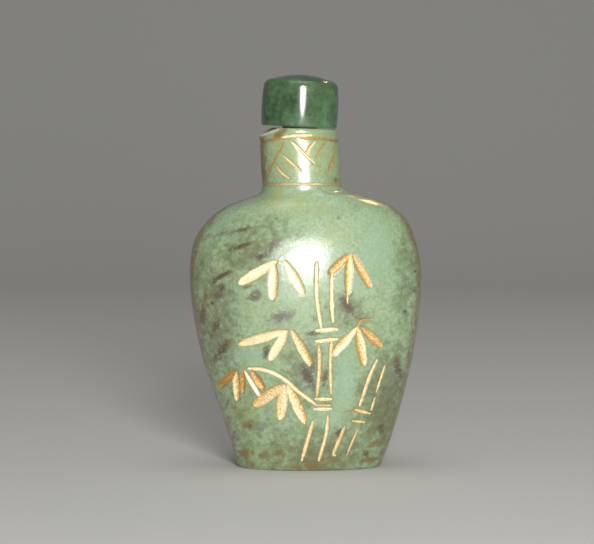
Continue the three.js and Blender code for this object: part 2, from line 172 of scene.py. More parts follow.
# Places on the neck are (degrees round from the front, height).
NECK_LINES = (
    (((-24, 61.8), (-40, 58.6), (-61, 54.7)), 0.42, 0.9),
    (((-37, 57.8), (-29, 56.3), (-17, 55.2)), 0.52, 0.4),
    (((-25, 59.5), (0, 56.5)), 0.45, 0.35),
    (((-10, 62.0), (19, 58.0)), 0.45, 0.15),
    (((22, 57.7), (45, 55.3)), 0.26, 0.0),
    (((25, 62.3), (7, 59.8)), 0.4, 0.35),
    (((40, 62.0), (23, 59.2)), 0.34, 0.8),
    (((66, 61.7), (56, 59.3), (41, 56.7)), 0.42, 0.8),
    (((-76, 56.7), (-61, 54.7)), 0.32, 0.8),
)
# The ring under the rim is one stroke whose two ends overlap at the front, where it is brightest.
UPPER_RING = (
    (((2, 62.7), (30, 62.6), (72, 62.1), (120, 61.9), (180, 61.9), (240, 61.9), (290, 62.0), (340, 62.8)),
     0.4, 1.0),
    (((334, 62.75), (345, 63.0), (358, 63.2), (378, 63.25)), 0.56, 0.1),
)
LOWER_RING_HEIGHT, LOWER_RING_RISE, LOWER_RING_WIDTH = 53.8, 0.35, 0.36
LATTICE_FROM, LATTICE_TO, LATTICE_STEP, LATTICE_LEAN = 86, 276, 27, 28
LATTICE_TOP, LATTICE_FOOT, LATTICE_WIDTH = 61.5, 54.8, 0.45

# A leaf's outline: the share of its length, and the share of its width there.
LEAF_OUTLINE = ((0.0, 0.25), (0.14, 0.66), (0.38, 0.97), (0.66, 1.0), (0.91, 0.76), (1.0, 0.3))

# ------------ where the stone changes colour
# Each patch is its place (x, z) on the front, its half length, its half width, the slant of its
# length from level, in degrees, and its strength.

BROWN_SEAMS = (
    ((-11.6, 45.7), 1.9, 0.38, 17, 0.75), ((-15.0, 45.0), 1.8, 0.35, 5, 0.4),
    ((-8.3, 46.6), 1.0, 0.3, -20, 0.35), ((-12.2, 42.6), 2.2, 0.4, 17, 0.95),
    ((-9.8, 43.5), 0.6, 0.35, 45, 0.5), ((-8.5, 40.8), 1.5, 0.5, 12, 0.85),
    ((-6.4, 42.3), 2.0, 0.7, 52, 0.7), ((-15.5, 37.2), 2.0, 0.4, 27, 1.0),
    ((-16.9, 36.0), 0.7, 0.4, 60, 0.8), ((-15.6, 34.7), 1.2, 0.7, 65, 0.7),
    ((-16.4, 33.5), 1.0, 0.6, 20, 0.9), ((-19.3, 29.3), 1.9, 0.6, 80, 0.7),
    ((-16.7, 27.5), 1.9, 0.6, 68, 0.75), ((-9.3, 33.6), 1.4, 0.8, 30, 0.75),
    ((-10.6, 35.3), 1.2, 0.4, 10, 0.5), ((-4.5, 29.8), 2.4, 0.9, 15, 0.6),
    ((-15.5, 23.2), 2.4, 0.7, 58, 0.95), ((-17.0, 21.0), 0.7, 0.5, 30, 0.7),
    ((-7.3, 23.1), 1.3, 0.6, 75, 0.85), ((0.4, 18.6), 2.4, 0.9, -62, 0.9),
    ((1.2, 19.5), 1.6, 0.5, 80, 0.6), ((-14.8, 12.5), 1.6, 0.35, 72, 0.5),
    ((-13.6, 6.2), 1.3, 0.35, 80, 0.6), ((-6.0, 5.6), 1.6, 0.3, 22, 0.45),
    ((-3.7, 8.2), 0.5, 0.4, 0, 0.5), ((-10.6, 8.4), 1.0, 0.4, 30, 0.5),
    ((7.6, 32.0), 1.9, 0.8, -58, 1.0), ((8.4, 33.4), 0.7, 0.5, 0, 0.4),
    ((1.3, 26.6), 1.2, 0.5, 10, 0.9), ((1.5, 29.5), 1.3, 0.35, -60, 0.5),
    ((3.6, 18.3), 1.7, 0.5, 85, 0.75), ((6.2, 7.5), 0.9, 0.5, 60, 0.9),
    ((11.5, 3.1), 0.75, 0.6, 50, 1.0), ((14.3, 7.9), 1.1, 0.5, 100, 0.95),
    ((15.6, 13.1), 1.2, 0.35, 85, 0.6), ((17.5, 19.3), 2.3, 0.6, -72, 0.85),
    ((14.7, 15.6), 0.6, 0.35, 80, 0.6),
)
OCHRE_PATCHES = (
    # The patch at (-17.6, 44.3) paints the yellowish halo of a warm lamp's reflection on the left shoulder.
    ((-17.6, 44.3), 1.8, 0.7, 10, 0.4), ((-18.6, 32.8), 1.3, 0.6, 40, 0.8),
    ((-19.4, 29.8), 2.0, 0.8, 80, 0.8), ((-10.8, 8.9), 1.2, 0.7, 30, 0.8),
    ((-14.9, 9.3), 1.0, 0.45, 80, 0.9), ((-11.4, 3.1), 1.3, 1.0, 30, 1.0),
    ((-7.9, 2.8), 1.0, 0.8, 0, 0.8), ((-4.6, 3.5), 1.4, 1.0, 0, 0.5), ((-10.4, 0.8), 0.9, 0.7, 0, 1.0),
    ((-1.4, 0.8), 0.9, 0.6, 0, 0.9), ((1.0, 1.2), 1.0, 0.9, 0, 0.9), ((3.9, 1.5), 2.0, 1.0, 0, 0.7),
    ((13.1, 5.2), 1.3, 0.9, 0, 0.7), ((12.0, 1.9), 1.4, 0.8, 0, 0.8),
    ((10.6, 29.1), 1.3, 0.35, -5, 0.6), ((15.3, 9.2), 0.8, 0.5, 0, 0.5),
    ((-13.3, 14.4), 0.7, 0.5, 0, 0.7), ((-4.7, 63.6), 1.4, 0.6, 35, 1.0),
    ((-7.2, 56.6), 1.2, 0.5, 60, 0.6), ((5.6, 54.6), 1.0, 0.5, 10, 0.7),
)
YELLOW_PATCHES = (
    ((-11.6, 11.0), 2.8, 2.0, 10, 1.0), ((-5.0, 52.4), 1.0, 1.0, 0, 1.0),
    ((-19.5, 34.5), 1.0, 2.0, 0, 0.5), ((-3.0, 50.5), 7.0, 2.2, -4, 0.6),
    ((6.0, 44.5), 4.0, 2.5, 0, 0.45), ((-9.5, 30.5), 4.0, 1.5, 10, 0.4),
    ((-15.5, 41.0), 2.5, 2.0, 0, 0.45), ((-1.5, 60.0), 8.0, 5.0, 0, 0.6),
    ((-6.0, 3.5), 6.0, 2.5, 0, 0.5), ((4.0, 1.8), 8.0, 1.6, 0, 0.6),
)
MINT_PATCHES = (
    ((-13.0, 35.0), 1.3, 1.6, 0, 0.6), ((-11.0, 40.0), 3.0, 1.8, 10, 0.6),
    ((-8.5, 12.0), 3.0, 2.5, 0, 0.8), ((-10.0, 22.0), 2.6, 1.5, 0, 0.8),
    ((7.2, 17.0), 2.0, 6.0, 0, 1.0), ((2.5, 5.0), 1.8, 2.6, 0, 0.7), ((13.5, 42.0), 3.0, 5.0, 0, 0.7),
    ((9.5, 36.0), 1.5, 1.6, 0, 0.7), ((-14.2, 20.3), 2.0, 1.2, 0, 0.6), ((6.0, 51.8), 1.6, 1.0, 0, 0.7),
    ((15.5, 14.0), 2.0, 5.0, 0, 0.5), ((-13.5, 31.0), 2.2, 2.6, 0, 0.5),
    ((4.5, 10.5), 2.5, 2.0, 0, 0.7),
)
GREY_PATCHES = (
    ((-6.2, 41.0), 1.1, 0.7, 0, 0.9), ((-4.8, 36.8), 0.8, 1.7, 0, 0.6),
    # The smudge at (-4.3, 29.6) is partly grey-brown stone, partly painted sheen from the highlight's fringe.
    ((-4.3, 29.6), 2.7, 1.4, 15, 1.0), ((3.6, 41.3), 1.3, 1.3, 0, 0.8), ((-8.0, 8.6), 1.1, 0.8, 0, 0.8),
    ((-2.8, 11.3), 1.4, 2.3, 0, 0.6), ((16.0, 19.0), 0.9, 2.2, 0, 0.7), ((0.6, 24.3), 1.3, 1.6, 0, 0.6),
    ((5.2, 7.6), 0.6, 0.7, 0, 0.9), ((5.6, 31.2), 1.0, 1.6, 0, 0.6), ((0.2, 18.3), 2.9, 1.8, -60, 0.9),
    ((-13.8, 22.4), 1.0, 1.6, -20, 0.7), ((-16.2, 33.6), 1.6, 1.0, 20, 0.6),
    ((-9.3, 33.6), 1.8, 1.2, 30, 0.6),
)
DARK_SPECKS = (
    ((6.1, 47.9), 0.32, 0.28, 0, 0.8), ((20.7, 37.7), 0.35, 0.3, 0, 1.0),
    ((18.7, 30.2), 0.4, 0.4, 0, 0.9), ((18.2, 34.7), 0.4, 0.4, 0, 0.5),
    ((-17.4, 31.9), 0.35, 0.35, 0, 1.0), ((-6.7, 47.5), 0.3, 0.2, 0, 0.6),
    ((-5.3, 47.9), 0.4, 0.2, 20, 0.6), ((20.2, 34.0), 1.2, 0.8, -20, 0.6),
    ((9.3, 17.6), 0.7, 0.5, 0, 0.4), ((17.2, 44.0), 0.6, 0.5, 0, 0.3),
    ((15.4, 48.8), 0.35, 0.3, 0, 0.5), ((-9.9, 33.9), 0.35, 0.3, 0, 0.7),
    ((18.2, 42.7), 0.5, 0.4, 0, 0.35),
)
MURKY_PATCHES = (
    ((-12.0, 8.0), 9.0, 9.0, 0, 0.5), ((-17.0, 28.0), 5.0, 14.0, 0, 0.75),
    ((15.0, 12.0), 5.0, 12.0, -10, 1.0), ((-10.0, 42.0), 8.0, 5.0, 25, 0.7),
    ((0.0, 19.0), 5.0, 6.0, 0, 0.7), ((3.0, 3.0), 12.0, 5.0, 0, 0.9), ((8.0, 30.5), 4.5, 3.5, -40, 0.7),
    ((18.5, 36.0), 2.5, 12.0, 0, 0.5),
)
# Where the polish is rubbed rough and breaks up what it reflects.
RUBBED_PATCHES = (
    ((-3.0, 38.5), 8.0, 4.6, 62, 1.0), ((-3.5, 30.0), 3.0, 3.0, 0, 0.9),
    ((2.0, 57.0), 4.0, 4.0, 0, 0.5),
)
FRONT_STAINS = {
    "rub": RUBBED_PATCHES, "murk": MURKY_PATCHES, "brown": BROWN_SEAMS, "ochre_and_edge_shade": OCHRE_PATCHES,
    "yellow": YELLOW_PATCHES, "mint": MINT_PATCHES, "grey": GREY_PATCHES, "speck": DARK_SPECKS,
}
# The back is strewn with the same colours: how many patches, their half lengths and half widths.
BACK_STAINS = {
    "rub": (2, (4.0, 8.0), (3.0, 5.0)),
    "murk": (9, (4.0, 10.0), (3.0, 7.0)),
    "brown": (34, (0.6, 2.4), (0.3, 0.8)), "ochre_and_edge_shade": (16, (0.6, 1.8), (0.4, 1.0)),
    "yellow": (9, (1.5, 5.0), (1.2, 2.6)), "mint": (11, (1.5, 4.0), (1.5, 3.0)),
    "grey": (9, (0.8, 2.6), (0.7, 1.5)), "speck": (14, (0.3, 0.5), (0.25, 0.4)),
}


# ------------ small helpers


def linear(hex_colour):
    """An sRGB hex colour as linear RGBA."""
    channels = [int(hex_colour[i : i + 2], 16) / 255 for i in (1, 3, 5)]
    return [c / 12.92 if c <= 0.04045 else ((c + 0.055) / 1.055) ** 2.4 for c in channels] + [1.0]


def smoothstep(value, low, high):
    share = np.clip((value - low) / (high - low), 0, 1)
    return share * share * (3 - 2 * share)


def catmull_rom(points, per_gap):
    """Rows along the uniform Catmull-Rom curve through the given rows."""
    p = np.asarray(points, float)
    p = np.vstack([2 * p[0] - p[1], p, 2 * p[-1] - p[-2]])
    w = np.linspace(0, 1, per_gap, endpoint=False)[:, None]
    rows = []
    for before, start, end, after in zip(p, p[1:], p[2:], p[3:]):
        leave, arrive = (end - before) / 2, (after - start) / 2
        rows.append(
            (2 * start - 2 * end + leave + arrive) * w**3
            + (-3 * start + 3 * end - 2 * leave - arrive) * w**2
            + leave * w
            + start
        )
    return np.vstack(rows + [p[-2:-1]])


def wobble(points, feature):
    """Smooth noise from about -1 to 1 at each point, with features of that size in millimetres."""
    return np.array([noise.noise(Vector(p) / feature) for p in points])


def stain(points, patches, side):
    """How strongly patches of one colour show at each point of the front (-1) or the back (1)."""
    x, y, z = points.T
    amount = np.zeros(len(points))
    for (at_x, at_z), half_length, half_width, slant, strength in patches:
        turn = math.radians(slant)
        along = (x - at_x) * math.cos(turn) + (z - at_z) * math.sin(turn)
        across = (z - at_z) * math.cos(turn) - (x - at_x) * math.sin(turn)
        away = np.hypot(along / half_length, across / half_width)
        amount = np.maximum(amount, strength * (1 - smoothstep(away, 0.0, 1.9)))
    return amount * smoothstep(y * side, -0.8, 0.8)


def strewn(chance, count, lengths, widths):
    """Patches strewn over the back, most of them slanting the way that the stone's seams run."""
    for _ in range(count):
        z = chance.uniform(2, 50)
        middle, width, _depth = cut_at(z)
        place = (middle + width * chance.uniform(-0.95, 0.95), z)
        half_length, half_width = chance.uniform(*lengths), chance.uniform(*widths)
        yield place, half_length, half_width, chance.gauss(-30, 20), chance.uniform(0.4, 1)


def mesh_object(name, points, faces, attributes=()):
    """A smooth-shaded mesh object from points in millimetres, with its named values per point."""
    mesh = bpy.data.meshes.new(name)
    mesh.from_pydata((np.asarray(points) * MM).tolist(), [], [tuple(map(int, face)) for face in faces])
    for key, values in dict(attributes).items():
        mesh.attributes.new(key, "FLOAT", "POINT").data.foreach_set("value", np.asarray(values, np.float32))
    mesh.shade_smooth()
    mesh.validate()
    made = bpy.data.objects.new(name, mesh)
    bpy.context.scene.collection.objects.link(made)
    return made


def add_node(tree, kind, inputs=None, **settings):
    """Adds a shader node with its settings, and feeds its inputs from values or from other nodes."""
    made = tree.nodes.new("ShaderNode" + kind)
    for key, value in settings.items():
        setattr(made, key, value)
    for key, value in (inputs or {}).items():
        if isinstance(value, bpy.types.Node):
            value = value.outputs[0]
        if isinstance(value, bpy.types.NodeSocket):
            tree.links.new(value, made.inputs[key])
        else:
            made.inputs[key].default_value = value
    return made


def new_material(name):
    """An empty node material and its Principled shader."""
    material = bpy.data.materials.new(name)
    material.use_nodes = True
    tree = material.node_tree
    tree.nodes.clear()
    shader = add_node(tree, "BsdfPrincipled")
    add_node(tree, "OutputMaterial", {"Surface": shader})
    return material, tree, shader


# ------------ the bottle's skin


def outside_curve():
    """Height, middle, half width and half depth along the outside, closely spaced."""
    z, left, right, depth = catmull_rom(OUTLINE, 24).T
    return np.stack([z, (left + right) / 2, (right - left) / 2, depth], 1)


OUTSIDE = outside_curve()


def cut_at(z, inset=0.0):
    """The level cut through the outside at a height: middle, half width and half depth."""
    middle, width, depth = (np.interp(z, OUTSIDE[:, 0], OUTSIDE[:, i]) for i in (1, 2, 3))
    return middle, width - inset, depth - inset


def turned_front(x, y, z, middle, width):
    """Turns the front of the body a little to the right, and leaves its edges, back and neck alone."""
    share = (x - middle) / np.maximum(width, 1e-9)
    on_body = 1 - smoothstep(z, 45, 52)
    turn = math.tan(math.radians(FRONT_TURN)) * on_body / BODY_DEPTH
    swell = turn * share * width * (1 - share**2)
    return np.where(y < 0, y * (1 - swell) * (1 - FRONT_TRIM * on_body), y)


def rim_top(x, y):
    """The height of the rim, sloping to the right and broken away on the left."""
    level = RIM_HEIGHT + RIM_RISE - math.tan(math.radians(RIM_SLOPE)) * (x - BORE_X)
    turn = math.radians(CHIP_TURN)
    outwards = -((x - CHIP_X) * math.cos(turn) + y * math.sin(turn))
    broken = CHIP_Z - math.tan(math.radians(CHIP_SLOPE)) * outwards - 0.02 * np.clip(outwards, 0, 4) ** 2
    return np.minimum(level, broken), level


def broken_face(points):
    """1 on the rough face of the rim's break, 0 elsewhere."""
    top, level = rim_top(points[:, 0], points[:, 1])
    return smoothstep(points[:, 2], top - 0.5, top - 0.15) * smoothstep(level - top, 0.03, 0.15)


def skin_rows():
    """The whole skin as rows of ovals: over the foot, up the outside, over the rim, down the mouth
    and round the hollow to its floor. Each row is z, middle, half width, half depth and corner."""
    rows = [(0.0, *cut_at(0.0)[:1], 0.0, 0.0, CORNER)]
    marks = [0]
    for turn in np.linspace(0, math.pi / 2, 8):
        z = FOOT_ROUNDING * (1 - math.cos(turn))
        rows.append((z, *cut_at(z, FOOT_ROUNDING * (1 - math.sin(turn))), CORNER))
    marks.append(len(rows) - 8)
    marks.append(len(rows) - 1)
    wall = (OUTSIDE[:, 0] > FOOT_ROUNDING + 0.05) & (OUTSIDE[:, 0] < RIM_HEIGHT - RIM_ROUNDING - 0.05)
    rows += [(*row, CORNER) for row in OUTSIDE[wall]]
    marks.append(len(rows))
    for turn in np.linspace(math.pi / 2, 0, 8):
        z = RIM_HEIGHT - RIM_ROUNDING * (1 - math.cos(turn))
        rows.append((z, *cut_at(z, RIM_ROUNDING * (1 - math.sin(turn))), CORNER))
    marks.append(len(rows) - 1)
    marks.append(len(rows))
    for turn in np.linspace(0, math.pi / 2, 5):
        radius = BORE_RADIUS + MOUTH_ROUNDING * (1 - math.sin(turn))
        rows.append((RIM_HEIGHT - MOUTH_ROUNDING * (1 - math.cos(turn)), BORE_X, radius, radius, 2.0))
    marks.append(len(rows) - 1)
    ceiling = NECK_FOOT - WALL + 0.8
    marks.append(len(rows))
    for share in np.linspace(0, 1, 41):
        along = math.cos(math.pi * share)
        z = (FLOOR + ceiling) / 2 + along * (ceiling - FLOOR) / 2
        spread = (1 - abs(along) ** 5) ** 0.2
        middle, width, depth = cut_at(z, WALL)
        throat = BORE_RADIUS if share < 0.5 else 0.0
        rows.append((
            z, BORE_X + (middle - BORE_X) * spread,
            throat + (width - throat) * spread, throat + (depth - throat) * spread, 2.0 + 0.1 * spread,
        ))
    marks.append(len(rows) - 1)
    return np.array(rows), marks


ROWS, MARKS = skin_rows()
# How far along the skin each row lies, in millimetres.
ALONG = np.concatenate([[0], np.cumsum(np.linalg.norm(np.diff(ROWS[:, [0, 2]], axis=0), axis=1))])
OUTSIDE_END = ALONG[MARKS[5]]


def skin_places(turn, along):
    """The points of the skin at directions round it (cosine and sine) and distances along it."""
    z, middle, width, depth, corner = (np.interp(along, ALONG, column) for column in ROWS.T)
    power = 2 / corner
    x = middle + width * np.sign(turn[:, 0]) * np.abs(turn[:, 0]) ** power
    y = depth * np.sign(turn[:, 1]) * np.abs(turn[:, 1]) ** power
    y = np.where(along < OUTSIDE_END, turned_front(x, y, z, middle, width), y)
    top, level = rim_top(x, y)
    slope = math.tan(math.radians(RIM_SLOPE)) * (x - BORE_X)
    z = z - smoothstep(z, NECK_FOOT, RIM_HEIGHT) * slope
    foot = CHIP_FOOT - slope * smoothstep(CHIP_FOOT, NECK_FOOT, RIM_HEIGHT)
    share = np.clip((z - foot) / (level - foot), 0, None)
    z = np.where(z > foot, foot + share * (top - foot), z)
    return np.stack([x, y, z], 1)


def skin_outwards(turn, along):
    """The way out of the stone at places on the skin."""
    step = 0.004
    c, s = math.cos(step), math.sin(step)
    ahead = np.stack([turn[:, 0] * c - turn[:, 1] * s, turn[:, 1] * c + turn[:, 0] * s], 1)
    behind = np.stack([turn[:, 0] * c + turn[:, 1] * s, turn[:, 1] * c - turn[:, 0] * s], 1)
    round_it = skin_places(ahead, along) - skin_places(behind, along)
    up_it = skin_places(turn, along + 0.05) - skin_places(turn, along - 0.05)
    out = np.cross(round_it, up_it)
    return out / np.maximum(np.linalg.norm(out, axis=1, keepdims=True), 1e-9)


# ------------ the cuts


class Cut:
    """One groove: points along its middle, its half width at each, its depth, the width of its walls,
    its tone, and how much more orange its right side is drawn than its left."""

    def __init__(self, points, half, depth, wall, tone, lean=0.0):
        self.points, self.half = np.asarray(points), np.asarray(half)
        self.depth, self.wall, self.tone, self.lean = depth, wall, tone, lean
        reach = self.half.max() + CUT_REACH
        self.low, self.high = self.points.min(0) - reach, self.points.max(0) + reach


CUT_REACH = 1.2


def on_face(side):
    """Takes places (x, z) to points on the front (-1) or the back (1) of the body."""

    def place(path):
        x, z = path.T
        middle, width, depth = cut_at(z)
        across = np.clip(np.abs((x - middle) / width), 0, 0.999)
        y = side * depth * (1 - across**CORNER) ** (1 / CORNER)
        return np.stack([x, turned_front(x, y, z, middle, width), z], 1)

    return place


def on_neck(path):
    """Takes places (degrees round from the front, height) to points on the neck."""
    angle = np.radians(path[:, 0] - 90)
    middle, width, depth = cut_at(path[:, 1])
    return np.stack([middle + width * np.cos(angle), depth * np.sin(angle), path[:, 1]], 1)


def line_cut(line, place, depth):
    """A line's groove, a little uneven in width and narrower at its two ends."""
    path, width, tone = line
    points = place(catmull_rom(path, 14))
    walked = np.concatenate([[0], np.cumsum(np.linalg.norm(np.diff(points, axis=0), axis=1))])
    to_end = np.minimum(walked, walked[-1] - walked)
    half = width / 2 * (0.62 + 0.4 * smoothstep(to_end, 0, 1.2)) * (1 + 0.22 * wobble(points, 1.3))
    return Cut(points, half, depth, 0.3, tone)


def leaf_cuts(sprays, place, depth):
    along, share = catmull_rom(LEAF_OUTLINE, 4).T
    cuts = []
    for root, leaves in sprays:
        for swing, length, width, shift, tone, lean in leaves:
            angle = math.radians(swing)
            path = np.stack([root[0] + shift + along * length * math.sin(angle),
                             root[1] - along * length * math.cos(angle)], 1)
            points = place(path)
            half = share * width / 2 * (1 + 0.12 * wobble(points, 1.6))
            cuts.append(Cut(points, half, depth, 0.55, tone, lean))
    return cuts


def all_cuts(leaf_depth, line_depth):
    """Every groove on the bottle: the bamboo on both faces and the band round the neck."""
    front, back = on_face(-1), on_face(1)
    cuts = [line_cut(line, front, line_depth) for line in FACE_LINES]
    cuts += [line_cut(line, back, line_depth) for line in BACK_LINES]
    cuts += leaf_cuts(FACE_SPRAYS, front, leaf_depth) + leaf_cuts(BACK_SPRAYS, back, leaf_depth)
    lattice = []
    for count, degrees in enumerate(range(LATTICE_FROM, LATTICE_TO, LATTICE_STEP)):
        lean = LATTICE_LEAN / 2 if count % 2 else -LATTICE_LEAN / 2
        path = ((degrees - lean, LATTICE_TOP), (degrees + lean, LATTICE_FOOT))
        lattice.append((path, LATTICE_WIDTH, 0.7))
    degrees = np.arange(0, 361, 6)
    rise = LOWER_RING_RISE * np.clip(np.cos(np.radians(degrees)), 0, None) ** 2
    lower_ring = (np.stack([degrees, LOWER_RING_HEIGHT + rise], 1), LOWER_RING_WIDTH, 0.4)
    cuts += [line_cut(line, on_neck, line_depth) for line in (*NECK_LINES, *lattice, *UPPER_RING)]
    points = on_neck(lower_ring[0])
    half = lower_ring[1] / 2 * (1 + 0.25 * wobble(points, 1.4))
    cuts.append(Cut(points, half, line_depth, 0.25, lower_ring[2]))
    return cuts


def cut_fields(points, cuts):
    """At each point: how far inside a cut's edge it lies (negative outside), how deep the stone is
    cut there, and the gilding's tone."""
    inside = np.full(len(points), -CUT_REACH)
    drop, tone = np.zeros(len(points)), np.zeros(len(points))
    for cut in cuts:
        near = np.flatnonzero(((points > cut.low) & (points < cut.high)).all(1))
        if not len(near):
            continue
        start, step = cut.points[:-1], np.diff(cut.points, axis=0)
        to_point = points[near][:, None] - start
        share = np.clip((to_point * step).sum(2) / np.maximum((step**2).sum(1), 1e-9), 0, 1)
        offset = to_point - share[..., None] * step
        half = cut.half[:-1] + share * np.diff(cut.half)
        room = half - np.linalg.norm(offset, axis=2)
        best = room.argmax(1)
        row = np.arange(len(near))
        deep_in = room[row, best]
        right = np.clip(offset[row, best, 0] / np.maximum(half[row, best], 0.1), -1, 1)
        better = deep_in > inside[near]
        inside[near[better]] = deep_in[better]
        tone[near[better]] = (cut.tone + cut.lean * right)[better]
        bite = cut.depth * np.sin(np.pi / 2 * np.clip(deep_in / cut.wall, 0, 1))
        drop[near] = np.maximum(drop[near], bite)
    return inside, drop, tone


# ------------ making one fine closed mesh

FIRST_COLUMNS = 56     # triangles round the coarse net
CHIP_STEP = 0.22       # the longest sides on the break, on the specks and inside, in millimetres
SPECK_STEP = 0.2
INSIDE_STEP = 2.5
SMALL_SPECKS = DARK_SPECKS[:8]

# How a triangle is divided, by which of its sides (first, second, third) are halved. Corners are
# 0, 1 and 2, and the middles of the sides are 3, 4 and 5.
DIVISIONS = {
    0: ((0, 1, 2),),
    1: ((0, 3, 2), (3, 1, 2)),
    2: ((0, 1, 4), (0, 4, 2)),
    3: ((3, 1, 4), (0, 3, 4), (0, 4, 2)),
    4: ((0, 1, 5), (5, 1, 2)),
    5: ((0, 3, 5), (3, 1, 2), (3, 2, 5)),
    6: ((4, 2, 5), (0, 1, 4), (0, 4, 5)),
    7: ((0, 3, 5), (3, 1, 4), (5, 4, 2), (3, 4, 5)),
}


def first_mesh(columns):
    """A coarse closed net over the skin: directions, distances along, and triangles."""
    zones = zip(MARKS, MARKS[1:], (1.6, 0.16, 1.3, 0.16, 0.8, 0.2, 2.0, 3.0))
    along = [0.0]
    for first, last, step in zones:
        count = max(1, round((ALONG[last] - ALONG[first]) / step))
        along += list(np.linspace(ALONG[first], ALONG[last], count + 1)[1:])
    along = np.unique(np.round(along, 6))
    angles = np.arange(columns) / columns * 2 * math.pi
    ring = np.stack([np.cos(angles), np.sin(angles)], 1)
    inner = along[1:-1]
    turn = np.vstack([[[0, 0]], np.tile(ring, (len(inner), 1)), [[0, 0]]])
    along = np.concatenate([[0], np.repeat(inner, columns), [along[-1]]])
    here = 1 + np.arange(columns)
    after = 1 + (np.arange(columns) + 1) % columns
    faces = [np.stack([np.zeros_like(here), after, here], 1)]
    for row in range(len(inner) - 1):
        low, high = row * columns, (row + 1) * columns
        faces.append(np.stack([here + low, after + low, after + high], 1))
        faces.append(np.stack([here + low, after + high, here + high], 1))
    last = (len(inner) - 1) * columns
    faces.append(np.stack([here + last, after + last, np.full_like(here, len(along) - 1)], 1))
    return turn, along, np.vstack(faces)


def refine(turn, along, faces, cuts, fine, coarse):
    """Halves the sides that are too long for where they lie, until none is."""
    for _ in range(9):
        sides = np.sort(faces[:, [[0, 1], [1, 2], [2, 0]]].reshape(-1, 2), axis=1)
        unique, side_of = np.unique(sides, axis=0, return_inverse=True)
        side_of = side_of.reshape(-1, 3)
        points = skin_places(turn, along)
        length = np.linalg.norm(points[unique[:, 0]] - points[unique[:, 1]], axis=1)
        middle_turn = turn[unique].sum(1)
        middle_turn /= np.maximum(np.linalg.norm(middle_turn, axis=1, keepdims=True), 1e-9)
        middle_along = along[unique].mean(1)
        middle = skin_places(middle_turn, middle_along)
        inside, _drop, _tone = cut_fields(middle, cuts)
        allowed = np.clip(fine + (-inside - 0.2) * 0.5, fine, coarse)
        top, level = rim_top(middle[:, 0], middle[:, 1])
        at_chip = (np.abs(level - top) > 0) & (middle[:, 2] > CHIP_FOOT - 0.3)
        at_chip &= middle_along < OUTSIDE_END + 0.3
        allowed = np.where(at_chip, np.minimum(allowed, CHIP_STEP), allowed)
        specked = stain(middle, SMALL_SPECKS, -1) > 0.05
        allowed = np.where(specked, np.minimum(allowed, SPECK_STEP), allowed)
        allowed = np.where(middle_along > OUTSIDE_END + 0.6, INSIDE_STEP, allowed)
        split = length > allowed * 1.35
        if not split.any():
            break
        longest = side_of[np.arange(len(faces)), length[side_of].argmax(1)]
        while True:
            more = split[side_of].any(1) & ~split[longest]
            if not more.any():
                break
            split[longest[more]] = True
        halves = np.full(len(unique), -1)
        halves[split] = len(turn) + np.arange(split.sum())
        turn = np.vstack([turn, middle_turn[split]])
        along = np.concatenate([along, middle_along[split]])
        corners = np.hstack([faces, halves[side_of]])
        code = split[side_of] @ np.array([1, 2, 4])
        faces = np.vstack([
            corners[code == kind][:, part] for kind, parts in DIVISIONS.items() for part in parts
        ])
    return turn, along, faces


# ------------ materials


def place_in_mm(tree):
    """The place on the bottle in millimetres, so that every pattern keeps its real size."""
    place = add_node(tree, "TexCoord").outputs["Object"]
    return add_node(tree, "VectorMath", {0: place, "Scale": 1 / MM}, operation="SCALE").outputs[0]


def tinted(tree, under, value, low, high, colour, most, within=None):
    """Lays a colour over another as a value passes from low to high, at most by the share given."""
    amount = add_node(tree, "MapRange", {"Value": value, "From Min": low, "From Max": high, "To Max": most})
    if within is not None:
        amount = add_node(tree, "Math", {0: amount, 1: within}, operation="MULTIPLY")
    return add_node(tree, "Mix", {0: amount, 6: under, 7: colour}, data_type="RGBA").outputs[2]


STONE_FIELDS = ("cut", "tone", "chip", *FRONT_STAINS)


